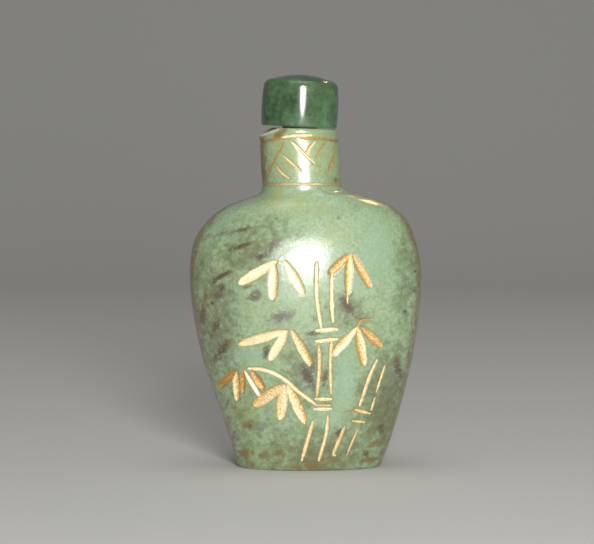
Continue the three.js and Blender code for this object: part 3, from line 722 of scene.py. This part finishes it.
def stone_material(settings):
    """Nephrite, ground and rubbed to a soft polish: cloudy sage green with brown seams, and fine
    rubbing marks that break up the highlight. The cuts are gilded over an orange ground."""
    material, tree, shader = new_material("nephrite_rubbed_and_gilded")
    place = place_in_mm(tree)
    clouds = {
        size: add_node(
            tree, "TexNoise", {"Vector": place, "Scale": 1 / size, "Detail": 3.0, "Roughness": 0.6}
        ).outputs[0]
        for size in (8.0, 2.4, 1.2, 0.6, 0.3)
    }
    # The seams run up to the right, nearly four times as long as they are thick.
    grain = add_node(
        tree, "Mapping", {"Vector": place, "Rotation": (0, math.radians(-28), 0), "Scale": (1.5, 1.0, 0.4)},
        vector_type="TEXTURE",
    )
    seams = add_node(tree, "TexNoise", {"Vector": grain, "Scale": 1.0, "Detail": 4.0, "Roughness": 0.65})
    seams = seams.outputs[0]
    fields = {name: add_node(tree, "Attribute", attribute_name=name).outputs["Fac"] for name in STONE_FIELDS}

    skin = (*settings.stone, 1.0)
    for cloud, low, high, colour, most in (
        (clouds[8.0], 0.42, 0.6, "#96B293", 0.6),
        (clouds[2.4], 0.42, 0.68, "#879E70", 0.65),
        (clouds[0.6], 0.45, 0.75, "#75895F", 0.55),
        (clouds[0.6], 0.5, 0.25, "#B4C8A4", 0.3),
    ):
        skin = tinted(tree, skin, cloud, low, high, linear(colour), most)
    # A stain shows where its field, plus so much of a noise, passes from low to high.
    for name, ragged, gain, low, high, colour, most in (
        ("mint", clouds[2.4], 1.3, 0.75, 1.7, "#96B699", 0.7),
        ("yellow", clouds[2.4], 1.3, 0.75, 1.6, "#A3AB68", 0.8),
        ("murk", clouds[2.4], 2.0, 1.05, 1.9, "#6E7C55", 0.85),
        ("murk", clouds[1.2], 2.0, 1.4, 2.2, "#625D3E", 0.7),
        ("grey", clouds[1.2], 1.3, 0.9, 1.8, "#80867F", 0.8),
        # The ochre field also holds the side edges and the neck's left side: partly painted shade there.
        ("ochre_and_edge_shade", clouds[1.2], 1.8, 0.95, 1.8, "#7A622C", 0.9),
        ("brown", clouds[0.6], 2.4, 1.2, 2.2, "#6C5F45", 0.8),
        ("brown", seams, 2.6, 1.45, 2.4, "#4F4029", 0.85),
        ("brown", clouds[0.3], 2.8, 1.9, 2.7, "#2E251A", 0.65),
        ("speck", clouds[0.3], 1.3, 0.9, 1.4, "#2E4436", 0.8),
    ):
        ragged = add_node(tree, "Math", {0: ragged, 1: gain, 2: fields[name]}, operation="MULTIPLY_ADD")
        # Without any of the field there is no stain, however strong the noise.
        there = add_node(tree, "MapRange", {"Value": fields[name], "From Min": 0.02, "From Max": 0.35})
        skin = tinted(tree, skin, ragged, low, high, linear(colour), most, within=there)

    worn = add_node(tree, "Math", {0: clouds[0.3], 1: 2.6, 2: fields["tone"]}, operation="MULTIPLY_ADD")
    # The edge of a cut is ragged and keeps less gilding than its middle. Its gilding is drawn more orange
    # and the stone at its lip browner: partly thinner gilding, partly painted shade on the cut's walls.
    edge = add_node(tree, "Math", {0: clouds[0.3], 1: 0.45, 2: fields["cut"]}, operation="MULTIPLY_ADD")
    gilt = (*settings.gilding, 1.0)
    for value, low, high, colour, most in (
        (worn, 1.15, 2.1, (*settings.worn_gilding, 1.0), 0.95),
        (worn, 1.7, 2.7, linear("#9A6826"), 0.9),
        (edge, 0.42, 0.22, linear("#C08A3C"), 0.45),
    ):
        gilt = tinted(tree, gilt, value, low, high, colour, most)
    skin = tinted(tree, skin, edge, -0.1, 0.22, linear("#836A36"), 0.4)
    gilded = add_node(tree, "MapRange", {"Value": edge, "From Min": 0.17, "From Max": 0.3}).outputs[0]
    skin = add_node(tree, "Mix", {0: gilded, 6: skin, 7: gilt}, data_type="RGBA").outputs[2]
    # The break is drawn pale: partly the fresh stone, partly a painted highlight where its edge catches
    # light.
    skin = add_node(
        tree, "Mix", {0: fields["chip"], 6: skin, 7: linear("#CFD0B4")}, data_type="RGBA").outputs[2]
    tree.links.new(skin, shader.inputs["Base Color"])

    rubbed = add_node(
        tree, "MapRange",
        {"Value": clouds[2.4], "From Min": 0.3, "From Max": 0.7, "To Min": 0.36, "To Max": 0.46})
    rough = add_node(tree, "Mix", {0: gilded, 2: rubbed, 3: 0.5}).outputs[0]
    rough = add_node(tree, "Mix", {0: fields["chip"], 2: rough, 3: 0.65}).outputs[0]
    tree.links.new(rough, shader.inputs["Roughness"])
    metal = add_node(tree, "Math", {0: gilded, 1: 0.1}, operation="MULTIPLY")
    tree.links.new(metal.outputs[0], shader.inputs["Metallic"])
    # The polish is a thin, sharper gloss over the stone, and the gilding and the break have none.
    bare = add_node(tree, "Math", {0: gilded, 1: fields["chip"]}, operation="MAXIMUM")
    polish = add_node(tree, "MapRange", {"Value": bare, "To Min": 0.9, "To Max": 0.05})
    tree.links.new(polish.outputs[0], shader.inputs["Coat Weight"])
    shader.inputs["Coat Roughness"].default_value = 0.11
    shader.inputs["Coat IOR"].default_value = 1.61
    # The rubbing marks are finer than this on the real stone, and are drawn as coarse as they show.
    height = add_node(tree, "MapRange", {"Value": fields["rub"], "To Min": 0.4, "To Max": 1.0})
    height = add_node(tree, "Math", {0: clouds[0.3], 1: height}, operation="MULTIPLY")
    bump = add_node(tree, "Bump", {"Height": height, "Distance": 0.06 * MM, "Strength": 1.0})
    tree.links.new(bump.outputs[0], shader.inputs["Normal"])
    tree.links.new(bump.outputs[0], shader.inputs["Coat Normal"])
    shader.inputs["IOR"].default_value = 1.61
    return material


def stopper_material(settings):
    """Dark nephrite, lapped to a glassy polish: deep spinach green with paler and darker clouds."""
    material, tree, shader = new_material("dark_nephrite_lapped")
    place = place_in_mm(tree)
    skin = (*settings.stone, 1.0)
    for size, offset, low, high, colour, most in (
        (5.5, 3.0, 0.38, 0.66, "#5A7F5E", 0.9),
        (5.0, 20.0, 0.45, 0.7, "#5E6B3C", 0.7),
        (4.0, 60.0, 0.42, 0.7, "#2A432D", 0.85),
        (1.0, 80.0, 0.4, 0.8, "#7C9C76", 0.3),
        (0.5, 90.0, 0.4, 0.8, "#2E4A34", 0.3),
    ):
        moved = add_node(tree, "VectorMath", {0: place, 1: (offset, offset, offset)}, operation="ADD")
        cloud = add_node(
            tree, "TexNoise", {"Vector": moved, "Scale": 1 / size, "Detail": 2.0, "Roughness": 0.5})
        skin = tinted(tree, skin, cloud, low, high, linear(colour), most)
    tree.links.new(skin, shader.inputs["Base Color"])
    shader.inputs["Roughness"].default_value = 0.15
    shader.inputs["IOR"].default_value = 1.61
    return material


def cork_material(settings):
    """Natural cork, cut and sanded: tan, with darker pores."""
    material, tree, shader = new_material("natural_cork_sanded")
    place = place_in_mm(tree)
    grain = add_node(tree, "TexNoise", {"Vector": place, "Scale": 1 / 0.8, "Detail": 5.0, "Roughness": 0.6})
    base = add_node(tree, "Mix", {0: grain, 6: linear("#8A6242"), 7: (*settings.cork, 1.0)}, data_type="RGBA")
    tree.links.new(base.outputs[2], shader.inputs["Base Color"])
    shader.inputs["Roughness"].default_value = 0.9
    return material


# ------------ settings


def length_property(name, description, millimetres, least=0.0):
    return FloatProperty(
        name=name, description=description, default=millimetres * MM, min=least * MM,
        subtype="DISTANCE", unit="LENGTH", precision=5)


def power_property(name, description, watts):
    return FloatProperty(name=name, description=description, default=watts, unit="POWER")


def colour_property(name, description, hex_colour):
    return FloatVectorProperty(
        name=name, description=description, default=linear(hex_colour)[:3], size=3, min=0, max=1,
        subtype="COLOR")


class BottleSettings(bpy.types.PropertyGroup):
    """The carved body."""

    leaf_depth: length_property("Leaf depth", "How deep the bamboo leaves are cut", 0.42)
    line_depth: length_property("Line depth", "How deep the stalks, rings and lattice are cut", 0.3)
    fine_step: length_property("Finest mesh step", "Length of the mesh's sides along the cuts", 0.175, 0.05)
    plain_step: length_property("Plain mesh step", "Length of the mesh's sides on uncut stone", 0.6, 0.2)
    stone: colour_property("Stone", "The body's plain green, between its clouds and seams", "#98AE85")
    gilding: colour_property("Gilding", "The bright gilding in the cuts", "#FFF8D6")
    worn_gilding: colour_property("Worn gilding", "The gilding where it is rubbed thin", "#E6B95C")


class StopperSettings(bpy.types.PropertyGroup):
    """The stone cap and its cork."""

    radius: length_property("Cap radius", "Radius of the cap where it is widest", 7.3, 1.0)
    height: length_property("Cap height", "From the cap's underside to the top of its dome", 9.88, 8.9)
    tilt: FloatProperty(
        name="Tilt", description="How far the cap leans down to the right", default=math.radians(2.7),
        subtype="ANGLE", unit="ROTATION")
    cork_length: length_property("Cork length", "How far the cork reaches down the mouth", 8.0, 1.0)
    sides: IntProperty(name="Sides", description="Facets round the stopper and the cork", default=128, min=16)
    stone: colour_property("Cap stone", "The cap's plain dark green, between its clouds", "#3B593C")
    cork: colour_property("Cork", "The cork between its pores", "#C79A6B")


class StageSettings(bpy.types.PropertyGroup):
    """The floor, the lights and the camera."""

    key_power: power_property("Key light", "Power of the softbox behind the camera", 3.45)
    overhead_power: power_property("Overhead light", "Power of the softbox above", 1.1)
    warm_power: power_property("Warm lamp", "Power of the small lamp behind on the right", 0.4)
    air: FloatProperty(
        name="Room light", description="Strength of the even light all round", default=0.22, min=0)
    floor: colour_property("Floor", "The paper sweep under and behind the bottle", "#D2D1CD")
    air_colour: colour_property("Room light colour", "Colour of the even light all round", "#E8E8E6")


# ------------ the pieces


def revolve(profile, sides):
    """A closed turned shape: its points, and its faces, from radius and height pairs that start and
    end on the axis."""
    profile = np.asarray(profile, float)
    angles = np.arange(sides) / sides * 2 * math.pi
    points = [[0, 0, profile[0, 1]]]
    for radius, height in profile[1:-1]:
        points += [[radius * math.cos(a), radius * math.sin(a), height] for a in angles]
    points.append([0, 0, profile[-1, 1]])
    faces = []
    for i in range(sides):
        j = (i + 1) % sides
        faces.append((0, 1 + j, 1 + i))
        for row in range(len(profile) - 3):
            low, high = 1 + row * sides, 1 + (row + 1) * sides
            faces.append((low + i, low + j, high + j, high + i))
        last = 1 + (len(profile) - 3) * sides
        faces.append((last + i, last + j, len(points) - 1))
    return np.array(points), faces


def seat_closure(points, tilt):
    """Tilts the stopper's or the cork's points and sets them on the rim."""
    turn = np.array(Matrix.Rotation(tilt, 3, "Y"))
    return points @ turn.T + np.array(STOPPER_SEAT)


def stopper_profile(widest, top):
    """The cap from the middle of its underside to the top of its dome, by its radius and height."""

    def side(z):
        return widest - STOPPER_BELLY * ((z - STOPPER_WIDEST) / STOPPER_WIDEST) ** 2

    edge, shoulder, turn_end = 0.3, 1.5, math.radians(71)
    profile = [(0, 0)] + [(r, 0) for r in np.linspace(1.0, widest - edge, 8)]
    foot_radius = side(edge)
    for turn in np.linspace(0, math.pi / 2, 6)[1:]:
        profile.append((foot_radius - edge * (1 - math.sin(turn)), edge * (1 - math.cos(turn))))
    top_of_side = 7.35
    for z in np.linspace(edge, top_of_side, 14)[1:-1]:
        profile.append((side(z), z))
    top_radius = side(top_of_side)
    for turn in np.linspace(0, turn_end, 14):
        inwards = shoulder * (1 - math.cos(turn))
        profile.append((top_radius - inwards, top_of_side + shoulder * math.sin(turn)))
    radius, height = profile[-1]
    for share in np.linspace(1, 0, 16)[1:]:
        profile.append((radius * share, height + (top - height) * (1 - share**2)))
    return profile


def cork_profile(length):
    """The cork from its free end up to the glue line."""
    chamfer = 0.4
    profile = [(0, -length)] + [(r, -length) for r in np.linspace(0.6, CORK_END_RADIUS - chamfer, 5)]
    top = -GLUE_LINE
    foot = -length + chamfer
    for share in np.linspace(0, 1, 22):
        radius = CORK_END_RADIUS + (CORK_TOP_RADIUS - CORK_END_RADIUS) * share
        profile.append((radius, foot + (top - foot) * share))
    profile += [(r, top) for r in np.linspace(CORK_TOP_RADIUS, 0.6, 6)[1:]] + [(0, top)]
    return profile


class SNUFFBOTTLE_OT_bottle(bpy.types.Operator):
    """Makes the carved and hollowed stone body"""

    bl_idname = "snuffbottle.make_bottle"
    bl_label = "Make the carved body"

    def execute(self, context):
        settings = context.scene.snuff_bottle
        cuts = all_cuts(settings.leaf_depth / MM, settings.line_depth / MM)
        turn, along, faces = first_mesh(FIRST_COLUMNS)
        fine, plain = settings.fine_step / MM, settings.plain_step / MM
        turn, along, faces = refine(turn, along, faces, cuts, fine, plain)
        points = skin_places(turn, along)
        out = skin_outwards(turn, along)
        inside, drop, tone = cut_fields(points, cuts)
        outer = along < OUTSIDE_END
        inside[~outer], drop[~outer] = -CUT_REACH, 0
        inside = np.where(inside > -0.5, inside + 0.08 * wobble(points, 0.5), inside)
        fields = {"cut": inside, "tone": tone, "chip": broken_face(points)}
        chance = random.Random(11)
        for name, patches in FRONT_STAINS.items():
            back = stain(points, list(strewn(chance, *BACK_STAINS[name])), 1)
            fields[name] = np.maximum(stain(points, patches, -1), back)
        middle, width, _depth = cut_at(points[:, 2])
        # Ochre on the side edges: partly the stone's brown rim, partly painted shade where they turn away.
        edge = smoothstep(np.abs(points[:, 0] - middle) / width, 0.9, 1.0) * smoothstep(points[:, 2], 54, 50)
        fields["ochre_and_edge_shade"] = np.maximum(fields["ochre_and_edge_shade"], 0.85 * edge)
        # The gilding is drawn more orange towards the sides of the neck.
        to_side = np.abs(points[:, 0] - middle) / width
        on_neck_side = smoothstep(points[:, 2], NECK_FOOT - 0.3, NECK_FOOT) * smoothstep(to_side, 0.35, 0.85)
        fields["tone"] = fields["tone"] + 0.5 * on_neck_side
        # The neck's left side is drawn ochre too: partly brown stone, partly painted shade away from the
        # light.
        left = smoothstep((middle - points[:, 0]) / width, 0.75, 1.0) * smoothstep(points[:, 2], 53, 55)
        fields["ochre_and_edge_shade"] = np.maximum(fields["ochre_and_edge_shade"], 1.0 * left)
        relief = 0.1 * fields["chip"] * wobble(points, 0.7)
        points = points - out * (drop - relief)[:, None]
        body = mesh_object("carved_body", points, faces, fields)
        body.data.materials.append(stone_material(settings))
        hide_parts("bottle")
        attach(body, "root")
        return {"FINISHED"}


class SNUFFBOTTLE_OT_stopper(bpy.types.Operator):
    """Makes the domed stone cap"""

    bl_idname = "snuffbottle.make_stopper"
    bl_label = "Make the stone stopper"

    def execute(self, context):
        settings = context.scene.snuff_stopper
        points, faces = revolve(stopper_profile(settings.radius / MM, settings.height / MM), settings.sides)
        cap = mesh_object("stopper_cap", seat_closure(points, settings.tilt), faces)
        cap.data.materials.append(stopper_material(settings))
        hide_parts("stopper")
        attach(cap, "root")
        return {"FINISHED"}


class SNUFFBOTTLE_OT_cork(bpy.types.Operator):
    """Makes the cork under the cap"""

    bl_idname = "snuffbottle.make_cork"
    bl_label = "Make the cork"

    def execute(self, context):
        settings = context.scene.snuff_stopper
        points, faces = revolve(cork_profile(settings.cork_length / MM), settings.sides)
        cork = mesh_object("cork_plug", seat_closure(points + [CORK_OFFSET, 0, 0], settings.tilt), faces)
        cork.data.materials.append(cork_material(settings))
        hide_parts("stopper_cork")
        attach(cork, "root")
        return {"FINISHED"}


def area_light(name, place, aim, width, height, power, colour, shape="RECTANGLE"):
    """A soft light at a place, turned to what it lights, in millimetres."""
    data = bpy.data.lights.new(name, "AREA")
    data.shape, data.size, data.size_y = shape, width * MM, height * MM
    data.energy, data.color = power, linear(colour)[:3]
    lamp = bpy.data.objects.new(name, data)
    lamp.location = Vector(place) * MM
    lamp.rotation_euler = (Vector(aim) - Vector(place)).to_track_quat("-Z", "Y").to_euler()
    lamp.visible_camera = False
    bpy.context.scene.collection.objects.link(lamp)
    return lamp


class SNUFFBOTTLE_OT_stage(bpy.types.Operator):
    """Makes the floor, the lights and the camera"""

    bl_idname = "snuffbottle.set_stage"
    bl_label = "Set the stage"

    def execute(self, context):
        settings = context.scene.snuff_stage
        half, back, rise, bend = 1800, 1100, 1500, 600
        path = [(-half, 0.0), (back - bend, 0.0)]
        for turn in np.linspace(0, math.pi / 2, 24)[1:]:
            path.append((back - bend + bend * math.sin(turn), bend * (1 - math.cos(turn))))
        path.append((back, rise))
        points = [(x, y, z) for y, z in path for x in (-half, half)]
        faces = [(2 * i, 2 * i + 1, 2 * i + 3, 2 * i + 2) for i in range(len(path) - 1)]
        floor = mesh_object("pale_sweep", points, faces)
        material, tree, shader = new_material("matt_paper_sweep")
        shader.inputs["Base Color"].default_value = (*settings.floor, 1.0)
        shader.inputs["Roughness"].default_value = 0.9
        floor.data.materials.append(material)
        middle = (0, 0, 38)
        area_light("key_softbox", KEY_PLACE, middle, 150, 300, settings.key_power, "#FFFFFF", "ELLIPSE")
        area_light("overhead_softbox", OVERHEAD_PLACE, middle, 500, 500, settings.overhead_power, "#FFFFFF")
        warm = area_light("warm_lamp", WARM_PLACE, middle, 36, 36, settings.warm_power, "#FFC98A", "ELLIPSE")
        warm.visible_diffuse = False
        world = bpy.data.worlds.new("even_studio_air")
        world.use_nodes = True
        world.node_tree.nodes["Background"].inputs["Color"].default_value = (*settings.air_colour, 1.0)
        world.node_tree.nodes["Background"].inputs["Strength"].default_value = settings.air
        context.scene.world = world
        context.scene.view_settings.view_transform = "Standard"
        data = bpy.data.cameras.new("camera")
        data.sensor_width, data.lens = 36.0, CAMERA_LENS
        data.clip_start, data.clip_end = 0.01, 20
        camera = bpy.data.objects.new("camera", data)
        camera.location = Vector(CAMERA_PLACE) * MM
        camera.rotation_euler = Euler((math.radians(90 - CAMERA_PITCH), 0, 0))
        context.scene.collection.objects.link(camera)
        context.scene.camera = camera
        return {"FINISHED"}


class SNUFFBOTTLE_PT_pieces(bpy.types.Panel):
    """The settings and the steps, in the order that they are run"""

    bl_idname = "SNUFFBOTTLE_PT_pieces"
    bl_label = "Snuff bottle"
    bl_space_type = "VIEW_3D"
    bl_region_type = "UI"
    bl_category = "Snuff Bottle"

    def draw(self, context):
        scene = context.scene
        for group, steps in (
            (scene.snuff_bottle, (SNUFFBOTTLE_OT_bottle,)),
            (scene.snuff_stopper, (SNUFFBOTTLE_OT_stopper, SNUFFBOTTLE_OT_cork)),
            (scene.snuff_stage, (SNUFFBOTTLE_OT_stage,)),
        ):
            box = self.layout.box()
            for key in group.__annotations__:
                box.prop(group, key)
            for step in steps:
                box.operator(step.bl_idname)


SETTINGS = {"snuff_bottle": BottleSettings, "snuff_stopper": StopperSettings, "snuff_stage": StageSettings}
OPERATORS = (SNUFFBOTTLE_OT_bottle, SNUFFBOTTLE_OT_stopper, SNUFFBOTTLE_OT_cork, SNUFFBOTTLE_OT_stage)


def register():
    for group in SETTINGS.values():
        bpy.utils.register_class(group)
    for kind in (*OPERATORS, SNUFFBOTTLE_PT_pieces):
        bpy.utils.register_class(kind)
    for name, group in SETTINGS.items():
        setattr(bpy.types.Scene, name, PointerProperty(type=group))


def unregister():
    for name in SETTINGS:
        delattr(bpy.types.Scene, name)
    for kind in (SNUFFBOTTLE_PT_pieces, *reversed(OPERATORS), *reversed(SETTINGS.values())):
        bpy.utils.unregister_class(kind)


def main():
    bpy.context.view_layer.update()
    register()
    bpy.ops.snuffbottle.make_bottle()
    bpy.ops.snuffbottle.make_stopper()
    bpy.ops.snuffbottle.make_cork()
    bpy.ops.snuffbottle.set_stage()


if __name__ == "__main__":
    main()
